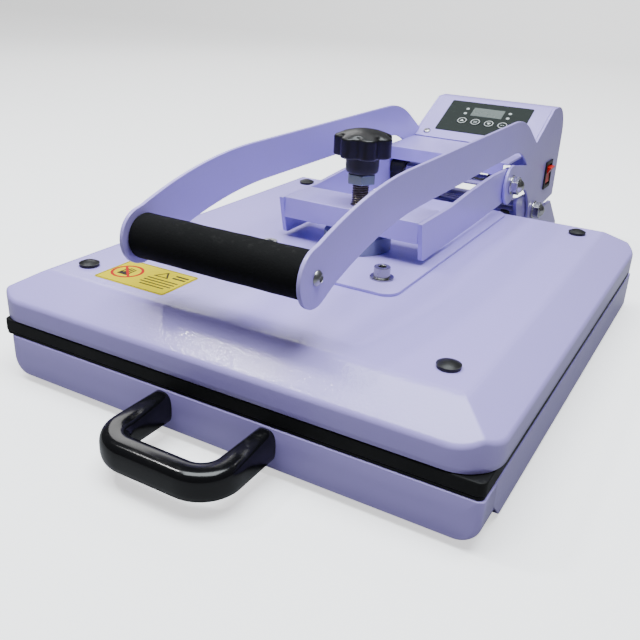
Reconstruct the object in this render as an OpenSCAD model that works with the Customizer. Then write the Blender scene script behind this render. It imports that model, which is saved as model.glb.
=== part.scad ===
// Clamshell heat press with a slide-out lower table.
// The pressing screw stands on the axis x = 0, y = 0 of the drawing frame. X is right, Y is back and
// Z is up from the underside of the drawer. placed() then moves everything into the part's own frame,
// whose origin is the bottom centre of the whole press.

/* [Heated cover] */
// Width of the cover over the heated platen
cover_w = 400; // [390:1:410]
// Depth of the cover
cover_d = 440; // [430:1:450]
// Height of the cover's lower edge above the drawer's underside
cover_z0 = 43.3; // [43:0.1:46]
// Height of the cover's shoulder, where the sloping hips start
shoulder_z = 60.4; // [58:0.1:64]
// Height of the flat top of the cover
cover_top_z = 78; // [76:0.5:79]
// Width of the sloping hip round the flat top
hip_w = 30; // [24:1:36]
// Corner radius of the cover seen from above
cover_r = 28; // [20:1:34]
// Thickness of the cover's sheet
cover_t = 1.5; // [1:0.1:2]

/* [Table drawer] */
// Height of the drawer's front panel
panel_h = 30.4; // [28:0.1:31]
// Radius of the front panel's lower corners seen from in front
panel_r = 13; // [8:1:16]
// Distance of the drawer's middle from the cover's middle
table_x = 7.5; // [0:0.5:8.5]
// Height of the top of the silicone pad
pad_z = 42.9; // [41:0.1:42.9]
// Thickness of the silicone pad
pad_t = 9.9; // [6:0.1:12]
// Distance of the pull handle's middle from the press's middle
pull_x = 10.5; // [-20:0.5:20]
// Width of the pull handle
pull_w = 101; // [90:1:120]
// Reach of the pull handle in front of the panel
pull_reach = 68; // [55:1:75]

/* [Lifting frame] */
// Half of the distance between the outer faces of the two side plates
side_x = 70.5; // [70:0.5:74]
// Thickness of a side plate
side_t = 3; // [2:0.5:3]
// Main pivot, behind the cover: distance back and height
main_pivot = [305, 56];
// Carrier pivot, at the side plates' noses: distance back and height
nose_pivot = [202, 105];
// Axis of the hand grip: distance back and height
grip_axis = [-192, 126.5];
// Diameter of the foam grip
grip_d = 32; // [28:1:36]
// Slope of the control panel in degrees
panel_slope = 26.6; // [26:0.1:27]

/* [Pressing screw] */
// Diameter of the threaded rod
rod_d = 14; // [12:1:14]
// Width across the flats of the jam nut
jam_nut_af = 22; // [20:1:24]
// Outer diameter of the star knob
knob_d = 49; // [44:1:52]
// Number of lobes on the star knob
knob_lobes = 7; // [5:1:9]
// Diameter of the pressing boss
boss_d = 58; // [50:1:60]

/* [Fasteners and shafts] */
// Diameter of the two cross shafts
shaft_d = 12; // [10:1:12]
// Radial clearance of a turning joint
run_gap = 0.05; // [0.02:0.01:0.1]
// Height of the rubber feet
foot_h = 3; // [2:1:6]
// Width across the flats of the shafts' cap nuts
cap_nut_af = 16.5; // [16:0.5:18]

/* [Hidden] */
$fn = 48;

// Colours
lilac = [0.72, 0.70, 0.93];
black_plastic = [0.05, 0.05, 0.06];
zinc = [0.78, 0.78, 0.74];

// Frame of the whole press
front_y = -cover_d / 2 - pull_reach;
rear_y = 452;
mid_y = (front_y + rear_y) / 2;

// Chassis and rear end
rail_x = 190.3;
base_drop = 3;
sheet = 2;
chassis_front_y = -195.4;
chassis_rear_y = 226;
arm_x = 66.9;
arm_t = 4;
bolt_ys = [285, 360, 425];

// Drawer
panel_d = 24;
panel_x = 190.5;
pad_mid_x = 4;
pad_x = 193.5;
pad_y = 219.8;
pad_r = 5;
frame_x = 171.5;
frame_d = 403;
frame_z = 6;
frame_top_z = 30.8;
pull_z = 17;
pull_t = 24;
pull_leg = 16.5;
pull_bar = 20;

// Control box
panel_y = 266;
panel_z = 129.4;
box_floor_z = 106;
box_rear_y = 390.5;
box_round = 35.5;
box_round_c = [355, 129.6];
button_s = 36;
button_xs = [-24, -8, 8, 24];
button_r = 5.8;
switch_yz = [347, 89];

// Star knob
knob_top_z = 180.4;
knob_dome_r = 88;

// Carrier and platen
bar_z = 117.2;
plate_t = 2.5;
mount_x = 75.5;
mount_front_y = -87;
mount_rear_y = 186;
screw_xy = [52, 58];
cap_xy = [150, 165];
platen_top_z = 57;
element_d = 8;
bend_r = 18;

// Points of an arc about c, from angle a0 to a1 in degrees
function arc(c, r, a0, a1, n = 20) =
    [for (i = [0 : n]) let (a = a0 + (a1 - a0) * i / n) [c[0] + r * cos(a), c[1] + r * sin(a)]];

// Height of the control panel's surface at a distance back
function panel_at(y) = panel_z + (y - panel_y) * tan(panel_slope);

module placed() translate([0, -mid_y, foot_h + base_drop]) children();

// A plate whose outline is drawn in the Y-Z plane, from x0 to x0 + t
module side_view(x0, t) translate([x0, 0, 0]) rotate([90, 0, 90]) linear_extrude(t) children();

module both_sides() {
    children();
    mirror([1, 0, 0]) children();
}

module along_x(y, z, r, x0, x1) translate([x0, y, z]) rotate([0, 90, 0]) cylinder(r = r, h = x1 - x0);

module round_rect(w, d, r) {
    square([w - 2 * r, d], center = true);
    square([w, d - 2 * r], center = true);
    for (sx = [-1, 1], sy = [-1, 1]) translate([sx * (w / 2 - r), sy * (d / 2 - r)]) circle(r);
}

module slab(w, d, r, z0, z1) translate([0, 0, z0]) linear_extrude(z1 - z0) round_rect(w, d, r);

// The sloping surface of the control panel: X across, Y up the slope, Z out of it
module on_panel() translate([0, panel_y, panel_z]) rotate([panel_slope, 0, 0]) children();

// Hexagon nut with a domed cap, seated at x0 and pointing along +X
module cap_nut(y, z, x0) translate([x0, y, z]) rotate([0, 90, 0]) {
    cylinder(d = 20, h = 1.8);
    translate([0, 0, 1.8]) cylinder(d = cap_nut_af / cos(30), h = 6.7, $fn = 6);
    translate([0, 0, 8.5]) intersection() {
        translate([0, 0, -3]) sphere(r = 7.8);
        cylinder(r = 7.8, h = 8);
    }
}

// ---- Base ----

module chassis() color(lilac) placed() {
    translate([table_x, 0, 0]) {
        difference() {
            translate([-rail_x, chassis_front_y, -base_drop])
                cube([2 * rail_x, chassis_rear_y - chassis_front_y, base_drop + panel_h]);
            translate([-rail_x + sheet, chassis_front_y - 1, sheet - base_drop])
                cube([2 * (rail_x - sheet), chassis_rear_y - chassis_front_y - sheet + 1, 50]);
            side_view(-rail_x - 1, 2 * rail_x + 2) polygon([[chassis_front_y - 1, -base_drop - 1],
                [chassis_front_y - 1, panel_r], [chassis_front_y, panel_r],
                [chassis_front_y + 16, -base_drop], [chassis_front_y + 16, -base_drop - 1]]);
        }
        both_sides() translate([rail_x - 9, chassis_front_y, panel_h - sheet])
            cube([9, chassis_rear_y - chassis_front_y, sheet]);
    }
    difference() {
        translate([-arm_x, chassis_rear_y, -base_drop]) cube([2 * arm_x, rear_y - chassis_rear_y, base_drop]);
        both_sides() for (y = bolt_ys) translate([arm_x - 10, y, -base_drop - 1]) cylinder(r = 3.1, h = 8);
    }
}

module upright() difference() {
    union() {
        side_view(arm_x - arm_t, arm_t) polygon(concat(
            [[263, 0], [257, 52]],
            arc([251, 74], 5, 190, 90, 4),
            arc(main_pivot, 20, 90, 20),
            [[338, 44], [404, 44], [rear_y, 6], [rear_y, 0]]));
        translate([arm_x - 16, 263, 0]) cube([13, rear_y - 263, 3]);
    }
    along_x(main_pivot[0], main_pivot[1], shaft_d / 2 + 0.02, 60, 70);
    for (y = bolt_ys) translate([arm_x - 10, y, -1]) cylinder(r = 3.1, h = 8);
}

module right_upright() color(lilac) placed() upright();

module left_upright() color(lilac) placed() mirror([1, 0, 0]) upright();

module rear_brace() color(lilac) placed() {
    translate([arm_t - arm_x, 392, 3]) cube([2 * (arm_x - arm_t), 2.5, 37]);
    translate([arm_t - arm_x, 394.5, 37.5]) cube([2 * (arm_x - arm_t), 10, 2.5]);
}

module upright_bolts() color(zinc) placed() both_sides() for (y = bolt_ys) translate([arm_x - 10, y, 0]) {
    translate([0, 0, 3]) cylinder(d = 10 / cos(30), h = 4, $fn = 6);
    translate([0, 0, -2.8]) cylinder(r = 3, h = 6);
}

module main_shaft() color(zinc) placed()
    along_x(main_pivot[0], main_pivot[1], shaft_d / 2, -side_x - 6, side_x + 6);

module main_shaft_nuts() color(zinc) placed() both_sides() difference() {
    cap_nut(main_pivot[0], main_pivot[1], side_x + 0.3);
    along_x(main_pivot[0], main_pivot[1], shaft_d / 2 + 0.02, side_x, side_x + 6.02);
}

module rubber_feet() color(black_plastic) placed() translate([0, 0, -base_drop - foot_h]) {
    translate([table_x, 0, 0]) both_sides() for (y = [-172, 205])
        translate([165, y, 0]) cylinder(d = 26, h = foot_h);
    both_sides() translate([44, 432, 0]) cylinder(d = 22, h = foot_h);
}

module slide_channels() color(zinc) placed() translate([table_x, 0, 0]) both_sides() difference() {
    translate([178, -190, 8]) cube([rail_x - sheet - 178, 405, 14]);
    translate([176, -191, 9.5]) cube([9.8, 410, 11]);
}

// ---- Table drawer ----

// A box with the front panel's outline, shrunk by t
module panel_block(t) intersection() {
    slab(2 * (panel_x - t), cover_d - 2 * t, 4, t, panel_h - t);
    translate([0, -cover_d / 2 + panel_d + t, 0]) rotate([90, 0, 0]) linear_extrude(panel_d) union() {
        translate([0, (panel_h + panel_r) / 2])
            square([2 * (panel_x - t), panel_h - panel_r + 2], center = true);
        translate([0, panel_r + t]) round_rect(2 * (panel_x - t), 2 * panel_r, panel_r);
    }
}

module drawer_panel() color(lilac) placed() difference() {
    translate([table_x, 0, 0]) panel_block(0);
    translate([table_x, 0, 0]) panel_block(sheet);
    for (x = [pull_x - 43, pull_x + 43]) translate([x, -cover_d / 2 - 1, pull_z]) rotate([-90, 0, 0])
        cylinder(r = 2.6, h = 5);
}

module pull_handle() color(black_plastic) placed() difference() {
    translate([pull_x, -cover_d / 2, pull_z - pull_t / 2]) linear_extrude(pull_t) difference() {
        intersection() {
            round_rect(pull_w, 2 * pull_reach, 26);
            translate([-pull_w / 2, -pull_reach]) square([pull_w, pull_reach]);
        }
        intersection() {
            round_rect(pull_w - 2 * pull_leg, 2 * (pull_reach - pull_bar), 10);
            translate([-pull_w / 2, -pull_reach]) square([pull_w, pull_reach + 1]);
        }
    }
    for (x = [pull_x - 43, pull_x + 43]) translate([x, -cover_d / 2 - 14, pull_z]) rotate([-90, 0, 0])
        cylinder(r = 2.05, h = 20);
}

module pull_handle_screws() color(zinc) placed()
    for (x = [pull_x - 43, pull_x + 43]) translate([x, -cover_d / 2, pull_z]) rotate([-90, 0, 0]) {
        translate([0, 0, -12]) cylinder(r = 2, h = 14.2);
        translate([0, 0, sheet]) cylinder(r = 4.2, h = 2.6);
    }

module drawer_frame() color(lilac) placed() translate([table_x, -cover_d / 2 + panel_d, 0]) difference() {
    translate([-frame_x, 0, frame_z]) cube([2 * frame_x, frame_d, frame_top_z - frame_z]);
    translate([sheet - frame_x, sheet, 0])
        cube([2 * (frame_x - sheet), frame_d - 2 * sheet, frame_top_z - sheet]);
}

module slide_runners() color(zinc) placed() translate([table_x, 0, 0]) both_sides() {
    translate([frame_x, -190, 10.2]) cube([3, 395, 9.6]);
    translate([frame_x + 3, -188, 13]) cube([9.5, 390, 4]);
}

module lower_platen() color([0.13, 0.13, 0.14]) placed() translate([pad_mid_x, 0, 0])
    slab(2 * pad_x - 1, 2 * pad_y - 1, pad_r - 0.5, frame_top_z, pad_z - pad_t);

module silicone_pad() color(black_plastic) placed() translate([pad_mid_x, 0, 0])
    slab(2 * pad_x, 2 * pad_y, pad_r, pad_z - pad_t, pad_z);

// ---- Lifting frame ----

// Outline of a side plate: grip end, top edge, hump, control box, main pivot, arch, nose and window
module side_outline() polygon(concat(
    arc(grip_axis, 20, 290, 102),
    arc([-60, -231], 400, 109, 90),
    arc([192, 57], 112, 90, 60),
    [[279, panel_at(279)], [337, panel_at(337)]],
    arc(box_round_c, box_round, 90, 0),
    [[box_rear_y, 56], [338, 52]],
    arc(main_pivot, 19, -12, -172),
    arc([238, 42], 50, 10, 92),
    arc(nose_pivot, 20, -38, -294, 24),
    arc([200, 61.5], 75, 47, 90),
    arc([-40, -263.5], 400, 90, 109)));

module side_plate() difference() {
    side_view(side_x - side_t, side_t) side_outline();
    along_x(main_pivot[0], main_pivot[1], shaft_d / 2 + run_gap, 60, 80);
    along_x(nose_pivot[0], nose_pivot[1], shaft_d / 2 + 0.02, 60, 80);
    along_x(grip_axis[0], grip_axis[1], 3.1, 60, 80);
}

module left_side_plate() color(lilac) placed() mirror([1, 0, 0]) side_plate();

module right_side_plate() color(lilac) placed() difference() {
    side_plate();
    translate([60, switch_yz[0] - 11, switch_yz[1] - 13.5]) cube([20, 22, 27]);
}

module frame_crossmember() color(lilac) placed() {
    translate([-side_x + side_t, 192, 126]) cube([2 * (side_x - side_t), panel_y - 193.2, 2.5]);
    translate([-62, 192, 114.5]) cube([124, 2.5, 11.5]);
}

module grip_tube() color(zinc) placed() difference() {
    along_x(grip_axis[0], grip_axis[1], 11, side_t - side_x, side_x - side_t);
    along_x(grip_axis[0], grip_axis[1], 9.5, -55, 55);
    along_x(grip_axis[0], grip_axis[1], 3.02, -80, 80);
}

module foam_grip() color(black_plastic) placed() difference() {
    along_x(grip_axis[0], grip_axis[1], grip_d / 2, side_t - side_x + 0.2, side_x - side_t - 0.2);
    along_x(grip_axis[0], grip_axis[1], 11.02, -80, 80);
}

module grip_screws() color(zinc) placed() both_sides()
    translate([side_x, grip_axis[0], grip_axis[1]]) rotate([0, 90, 0]) difference() {
        union() {
            translate([0, 0, -14]) cylinder(r = 3, h = 14.1);
            intersection() {
                translate([0, 0, 0.02]) cylinder(r = 5.3, h = 3.3);
                translate([0, 0, -2.5]) sphere(r = 5.85);
            }
        }
        translate([0, 0, 1.2]) cylinder(d = 4 / cos(30), h = 4, $fn = 6);
    }

module carrier_shaft() color(zinc) placed()
    along_x(nose_pivot[0], nose_pivot[1], shaft_d / 2, -side_x - 6, side_x + 6);

module carrier_shaft_nuts() color(zinc) placed() both_sides() difference() {
    cap_nut(nose_pivot[0], nose_pivot[1], side_x + 0.02);
    along_x(nose_pivot[0], nose_pivot[1], shaft_d / 2 + 0.02, side_x, side_x + 6.02);
}

module shaft_collars() color(black_plastic) placed() both_sides() difference() {
    union() {
        along_x(nose_pivot[0], nose_pivot[1], 9.5, 46, 62);
        translate([46, nose_pivot[0] - 7, nose_pivot[1] - 14]) cube([16, 14, 12]);
    }
    along_x(nose_pivot[0], nose_pivot[1], shaft_d / 2 + 0.02, 40, 70);
}

// Folded cover of the control box: sloping panel, rounded top and back
module control_cover() color(lilac) placed() difference() {
    side_view(side_t - side_x + 0.1, 2 * (side_x - side_t) - 0.2) polygon(concat(
        [[panel_y, panel_z], [337, panel_at(337)]],
        arc(box_round_c, box_round, 90, 0),
        [[box_rear_y, box_floor_z + 1.6], [box_rear_y - cover_t, box_floor_z + 1.6]],
        arc(box_round_c, box_round - cover_t, 0, 90),
        [[337.5, panel_at(337) - cover_t], [panel_y + 0.6, panel_z - cover_t - 0.1]]));
    translate([-39, box_rear_y - 5, 109.5]) cube([28, 10, 18]);
    translate([24, box_rear_y - 5, 118.5]) rotate([-90, 0, 0]) cylinder(r = 6.1, h = 10);
    on_panel() for (x = button_xs) translate([x, button_s, -4]) cylinder(r = button_r + 0.35, h = 8);
}

module control_floor() color(lilac) placed() side_view(side_t - side_x + 0.1, 2 * (side_x - side_t) - 0.2)
    polygon([[panel_y + 0.2, panel_z - 1.9], [286, box_floor_z + cover_t],
             [box_rear_y - 2, box_floor_z + cover_t], [box_rear_y - 2, box_floor_z],
             [285, box_floor_z], [panel_y + 0.1, panel_z - 3.9]]);

module membrane_overlay() color([0.12, 0.13, 0.13]) placed() on_panel() difference() {
    translate([0, 44, 0]) linear_extrude(0.6) round_rect(98, 59, 2);
    for (x = button_xs) translate([x, button_s, -1]) cylinder(r = button_r + 0.35, h = 3);
    translate([-18.5, 47, 0.3]) cube([37, 16, 1]);
    for (x = [-25.3, 25.3], s = [50, 59]) translate([x, s, 0.3]) cylinder(r = 2, h = 1);
}

module display_window() color([0.5, 0.53, 0.5]) placed() on_panel()
    translate([-18.4, 47.1, 0.3]) cube([36.8, 15.8, 0.5]);

module indicator_lenses() color([0.6, 0.62, 0.6]) placed() on_panel()
    for (x = [-25.3, 25.3], s = [50, 59]) translate([x, s, 0.3]) cylinder(r = 1.95, h = 0.6);

module panel_screws() color(zinc) placed() on_panel() both_sides() translate([56, 9, 0]) difference() {
    intersection() {
        cylinder(r = 4, h = 2.4);
        translate([0, 0, -4.6]) sphere(r = 7);
    }
    for (a = [0, 90]) rotate([0, 0, a]) translate([-2.2, -0.45, 1.2]) cube([4.4, 0.9, 3]);
}

module control_board() color([0.1, 0.35, 0.18]) placed() on_panel() {
    translate([-45, 20, -12]) cube([90, 50, 1.6]);
    translate([-17, 48, -10.4]) cube([34, 14, 6]);
    for (x = button_xs) translate([x - 3, button_s - 3, -10.4]) cube([6, 6, 5]);
}

module heater_relay() color([0.2, 0.2, 0.22]) placed() {
    translate([-55, 340, box_floor_z + cover_t]) cube([45, 30, 8]);
    translate([-50, 345, box_floor_z + cover_t + 8]) cube([35, 20, 10]);
}

module mains_inlet() color(black_plastic) placed() difference() {
    union() {
        translate([-42, box_rear_y, 108]) cube([34, 2.5, 21]);
        translate([-38.8, box_rear_y - 16, 109.7]) cube([27.6, 16, 17.6]);
    }
    translate([-37, box_rear_y - 12, 111]) cube([24, 20, 15]);
}

module fuse_holder() color(black_plastic) placed() translate([24, box_rear_y, 118.5]) rotate([-90, 0, 0]) {
    cylinder(r = 8, h = 4);
    translate([0, 0, -18]) cylinder(r = 6, h = 18);
}

module switch_body() color(black_plastic) placed()
    translate([side_x, switch_yz[0], switch_yz[1]]) difference() {
        union() {
            translate([0.02, -13, -16]) cube([1.8, 26, 32]);
            translate([-16, -10.8, -13.3]) cube([16.1, 21.6, 26.6]);
        }
        translate([-9, -9.2, -11.8]) cube([12, 18.4, 23.6]);
    }

module switch_rocker() color([0.85, 0.1, 0.08]) placed() translate([side_x - 2, switch_yz[0], switch_yz[1]])
    rotate([90, 0, 0]) {
        translate([0, 0, -8.6]) linear_extrude(17.2)
            polygon([[-3, -8], [3.2, -10], [2.6, 0], [8.4, 9.4], [0, 10], [-3, 8]]);
        translate([0, 0, -9]) cylinder(r = 2, h = 18);
    }

module panel_button(i) color(black_plastic) placed() on_panel()
    translate([button_xs[i], button_s, -1.6]) cylinder(r = button_r, h = 2.5);

module button_up() panel_button(0);

module button_set() panel_button(1);

module button_down() panel_button(2);

module button_mode() panel_button(3);

// ---- Platen carrier ----

module carrier_arm() difference() {
    side_view(arm_x - arm_t, arm_t) polygon(concat(
        arc(nose_pivot, 17, -88, 84),
        [[150, 123.4], [90, 121], [40, bar_z], [-22, bar_z]],
        arc([-11.5, 88], 4, 190, 270, 4),
        [[100, 85.5]]));
    along_x(nose_pivot[0], nose_pivot[1], shaft_d / 2 + run_gap, 60, 80);
}

module right_carrier_arm() color(lilac) placed() carrier_arm();

module left_carrier_arm() color(lilac) placed() mirror([1, 0, 0]) carrier_arm();

module carrier_crossbar() color(lilac) placed() difference() {
    side_view(arm_t - arm_x, 2 * (arm_x - arm_t)) polygon([
        [-19, 99], [-19, bar_z], [25, bar_z], [25, 103],
        [22, 103], [22, bar_z - 3], [-16, bar_z - 3], [-16, 99]]);
    translate([0, 0, 90]) cylinder(r = rod_d / 2 + 0.6, h = 40);
}

module screw_bush() color(zinc) placed() difference() {
    translate([0, 0, 101]) cylinder(r = 13, h = bar_z - 3 - 101);
    translate([0, 0, 90]) cylinder(r = rod_d / 2 + run_gap, h = 40);
}

// ---- Heated platen ----

// The four screws that carry the heated platen
module at_mount_screws() for (x = [-1, 1], y = [-1, 1])
    translate([x * screw_xy[0], y * screw_xy[1], 0]) children();

// The middle of the cover's rear hip, with Z out of it
module on_rear_hip() translate([66, cover_d / 2 - hip_w / 2, (shoulder_z + cover_top_z) / 2])
    rotate([-atan((cover_top_z - shoulder_z) / hip_w), 0, 0]) children();

// Outside of the cover, shrunk by t: mitred sloping hips inside an upright rounded wall
module cover_solid(t) intersection() {
    slab(cover_w - 2 * t, cover_d - 2 * t, cover_r - t, cover_z0 - t, cover_top_z + 1);
    hull() {
        translate([t - cover_w / 2, t - cover_d / 2, cover_z0 - t - 1])
            cube([cover_w - 2 * t, cover_d - 2 * t, shoulder_z - t / 2 - cover_z0 + t + 1]);
        translate([hip_w - cover_w / 2, hip_w - cover_d / 2, cover_z0])
            cube([cover_w - 2 * hip_w, cover_d - 2 * hip_w, cover_top_z - t - cover_z0]);
    }
}

module cover_shell() color(lilac) placed() difference() {
    cover_solid(0);
    cover_solid(cover_t);
    at_mount_screws() translate([0, 0, 70]) cylinder(r = 4.3, h = 12);
    on_rear_hip() translate([0, 0, -6]) cylinder(r = 4.1, h = 12);
}

module mount_plate() color(lilac) placed() difference() {
    translate([0, (mount_front_y + mount_rear_y) / 2, 0])
        slab(2 * mount_x, mount_rear_y - mount_front_y, 12, cover_top_z + 0.02, cover_top_z + plate_t);
    at_mount_screws() translate([0, 0, 70]) cylinder(r = 4.1, h = 20);
}

module pressing_boss() color([0.5, 0.53, 0.62]) placed() difference() {
    translate([0, 0, cover_top_z + plate_t]) cylinder(d = boss_d, h = 14);
    translate([0, 0, cover_top_z + plate_t + 4]) cylinder(r = rod_d / 2 + run_gap, h = 20);
}

module mount_screws() color(zinc) placed() at_mount_screws()
    translate([0, 0, cover_top_z + plate_t]) difference() {
        union() {
            cylinder(r = 9.5, h = 1.6);
            translate([0, 0, 1.6]) cylinder(r = 6.5, h = 8);
            translate([0, 0, -13]) cylinder(r = 4, h = 14);
        }
        translate([0, 0, 5]) cylinder(d = 6 / cos(30), h = 6, $fn = 6);
    }

module corner_caps() color(black_plastic) placed() both_sides() for (y = [-cap_xy[1], cap_xy[1]])
    translate([cap_xy[0], y, cover_top_z + 0.02]) {
        cylinder(r = 7.8, h = 2.4);
        translate([0, 0, 2.4]) intersection() {
            cylinder(r = 7.8, h = 3);
            translate([0, 0, -11]) sphere(r = 13.4);
        }
    }

module caution_label() color([0.95, 0.82, 0.15]) placed()
    translate([-98, -158, cover_top_z + 0.02]) linear_extrude(0.3) round_rect(68, 43, 3);

module heated_platen() color([0.7, 0.71, 0.72]) placed()
    slab(380, 420, 20, cover_z0, platen_top_z);

// Tubular element laid in passes on the back of the platen
module heating_element() color([0.45, 0.4, 0.36]) placed() translate([0, 0, platen_top_z + element_d / 2]) {
    for (i = [-4 : 4]) translate([i * 2 * bend_r, 150, 0]) rotate([90, 0, 0])
        cylinder(d = element_d, h = 300);
    for (i = [-4 : 3]) translate([(2 * i + 1) * bend_r, i % 2 == 0 ? 150 : -150, 0])
        rotate([0, 0, i % 2 == 0 ? 0 : 180]) rotate_extrude(angle = 180)
            translate([bend_r, 0]) circle(d = element_d);
}

module insulation() color([0.9, 0.88, 0.8]) placed() difference() {
    slab(340, 380, 12, platen_top_z + element_d + 0.2, platen_top_z + element_d + 6);
    at_mount_screws() translate([0, 0, 50]) cylinder(r = 7.2, h = 30);
}

module platen_spacers() color(zinc) placed() at_mount_screws()
    translate([0, 0, platen_top_z]) difference() {
        cylinder(r = 7, h = cover_top_z - cover_t - platen_top_z);
        translate([0, 0, 8]) cylinder(r = 4.02, h = 20);
    }

module temperature_probe() color(zinc) placed() translate([bend_r, 60, platen_top_z]) {
    cylinder(r = 3, h = 6);
    translate([0, 0, 6]) cylinder(r = 1.5, h = 2);
}

module lead_gland() color(black_plastic) placed() on_rear_hip() {
    translate([0, 0, 0.02]) cylinder(r = 7, h = 5);
    translate([0, 0, 5]) cylinder(r = 5, h = 2.5);
    translate([0, 0, -4]) cylinder(r = 4, h = 5);
}

// ---- Pressure adjustment ----

module star_knob() color(black_plastic) placed() difference() {
    union() {
        translate([0, 0, 144.4]) cylinder(r1 = 12.6, r2 = 13.9, h = 15);
        intersection() {
            translate([0, 0, 158.8]) linear_extrude(25) difference() {
                circle(d = knob_d);
                for (i = [0 : knob_lobes - 1]) rotate([0, 0, (i + 0.5) * 360 / knob_lobes])
                    translate([knob_d / 2 + 3.6, 0]) circle(r = 6.2);
            }
            translate([0, 0, knob_top_z - knob_dome_r]) sphere(r = knob_dome_r);
        }
    }
    translate([0, 0, 140]) cylinder(r = rod_d / 2 + 0.02, h = 16);
}

module jam_nut() color(zinc) placed() difference() {
    translate([0, 0, 135.8]) cylinder(d = jam_nut_af / cos(30), h = 8.5, $fn = 6);
    translate([0, 0, 130]) cylinder(r = rod_d / 2 + 0.02, h = 20);
}

module pressure_rod() color(zinc) placed()
    translate([0, 0, cover_top_z + plate_t + 4.3]) cylinder(r = rod_d / 2, h = 70);

chassis();
left_upright();
right_upright();
rear_brace();
upright_bolts();
main_shaft();
main_shaft_nuts();
rubber_feet();
slide_channels();
drawer_panel();
pull_handle();
pull_handle_screws();
drawer_frame();
slide_runners();
lower_platen();
silicone_pad();
left_side_plate();
right_side_plate();
frame_crossmember();
grip_tube();
foam_grip();
grip_screws();
carrier_shaft();
carrier_shaft_nuts();
shaft_collars();
control_cover();
control_floor();
membrane_overlay();
display_window();
indicator_lenses();
panel_screws();
control_board();
heater_relay();
mains_inlet();
fuse_holder();
switch_body();
switch_rocker();
button_up();
button_set();
button_down();
button_mode();
left_carrier_arm();
right_carrier_arm();
carrier_crossbar();
screw_bush();
cover_shell();
mount_plate();
pressing_boss();
mount_screws();
corner_caps();
caution_label();
heated_platen();
heating_element();
insulation();
platen_spacers();
temperature_probe();
lead_gland();
star_knob();
jam_nut();
pressure_rod();
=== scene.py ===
import math

import bmesh
import bpy
from mathutils import Matrix, Vector, noise


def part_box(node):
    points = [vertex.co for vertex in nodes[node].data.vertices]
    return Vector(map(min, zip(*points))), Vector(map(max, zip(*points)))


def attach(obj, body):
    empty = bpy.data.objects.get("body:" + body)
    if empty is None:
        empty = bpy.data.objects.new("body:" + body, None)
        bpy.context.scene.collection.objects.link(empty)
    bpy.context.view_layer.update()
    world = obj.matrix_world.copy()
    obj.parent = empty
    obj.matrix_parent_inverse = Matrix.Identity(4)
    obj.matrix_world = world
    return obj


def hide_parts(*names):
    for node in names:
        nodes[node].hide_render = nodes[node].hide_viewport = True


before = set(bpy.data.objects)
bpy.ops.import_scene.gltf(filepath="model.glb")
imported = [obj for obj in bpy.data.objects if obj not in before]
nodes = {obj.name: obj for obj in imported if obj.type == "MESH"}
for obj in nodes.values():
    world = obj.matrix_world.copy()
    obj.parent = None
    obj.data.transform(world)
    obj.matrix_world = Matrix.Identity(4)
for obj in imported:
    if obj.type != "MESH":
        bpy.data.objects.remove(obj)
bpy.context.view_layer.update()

# ---- Studio: camera, pale floor and soft lights --------------------------------------------------
# The camera stands in front of the press, to its right and above it. The floor runs up into the
# backdrop without a line, and large soft lights hang over the head and to the sides.
CAM_PLACE = (0.2849, -0.6536, 0.3009)
CAM_YAW, CAM_PITCH, CAM_ROLL = math.radians(29.1), math.radians(-24.2), math.radians(2.6)
CAM_LENS = 43.5
FLOOR_HALF_W, FLOOR_FRONT, FLOOR_BACK, BEND_R, WALL_TOP = 7.0, -4.0, 3.0, 1.5, 6.0
BEND_STEPS = 12

ahead = Vector((-math.sin(CAM_YAW) * math.cos(CAM_PITCH), math.cos(CAM_YAW) * math.cos(CAM_PITCH),
                math.sin(CAM_PITCH)))
right = ahead.cross(Vector((0, 0, 1))).normalized()
up = right.cross(ahead)
right_rolled = right * math.cos(CAM_ROLL) + up * math.sin(CAM_ROLL)
up_rolled = up * math.cos(CAM_ROLL) - right * math.sin(CAM_ROLL)
camera_data = bpy.data.cameras.new("camera")
camera_data.lens = CAM_LENS
camera_data.clip_start = 0.01
camera = bpy.data.objects.new("camera", camera_data)
bpy.context.scene.collection.objects.link(camera)
axes = Matrix((right_rolled, up_rolled, -ahead)).transposed()
camera.matrix_world = Matrix.Translation(CAM_PLACE) @ axes.to_4x4()
bpy.context.scene.camera = camera

world = bpy.data.worlds.new("studio")
world.use_nodes = True
world.node_tree.nodes["Background"].inputs["Color"].default_value = (1.0, 1.0, 1.0, 1)
world.node_tree.nodes["Background"].inputs["Strength"].default_value = 0.10
bpy.context.scene.world = world


def soft_light(name, place, aim, size, power, colour=(1, 1, 1)):
    """A rectangular light at a place, turned to an aim."""
    data = bpy.data.lights.new(name, "AREA")
    data.shape = "RECTANGLE"
    data.size, data.size_y = size
    data.energy = power
    data.color = colour
    light = bpy.data.objects.new(name, data)
    bpy.context.scene.collection.objects.link(light)
    turn = (Vector(aim) - Vector(place)).to_track_quat("-Z", "Y")
    light.matrix_world = Matrix.Translation(place) @ turn.to_matrix().to_4x4()


soft_light("overhead", (0.1, -0.3, 2.1), (0, 0, 0.05), (1.9, 1.3), 98, (0.90, 0.97, 1.0))
soft_light("back_left", (-1.6, 1.5, 1.5), (0, 0, 0.1), (1.2, 0.8), 12)
soft_light("glint", (-0.82, -0.40, 1.43), (0.03, -0.29, 0.08), (0.14, 0.14), 8)
soft_light("wall", (0, 2.2, 3.2), (0, 4.2, 1.0), (3.0, 1.0), 70)


def object_from(bm, name):
    """The mesh as an object of its own, at the origin."""
    mesh = bpy.data.meshes.new(name)
    bm.to_mesh(mesh)
    bm.free()
    thing = bpy.data.objects.new(name, mesh)
    bpy.context.scene.collection.objects.link(thing)
    return thing


def arc(x, y, radius, start, end, steps):
    """Points of an arc round x, y, from a start to an end angle in degrees."""
    turns = [math.radians(start + (end - start) * i / steps) for i in range(steps + 1)]
    return [(x + radius * math.cos(a), y + radius * math.sin(a)) for a in turns]


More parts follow.
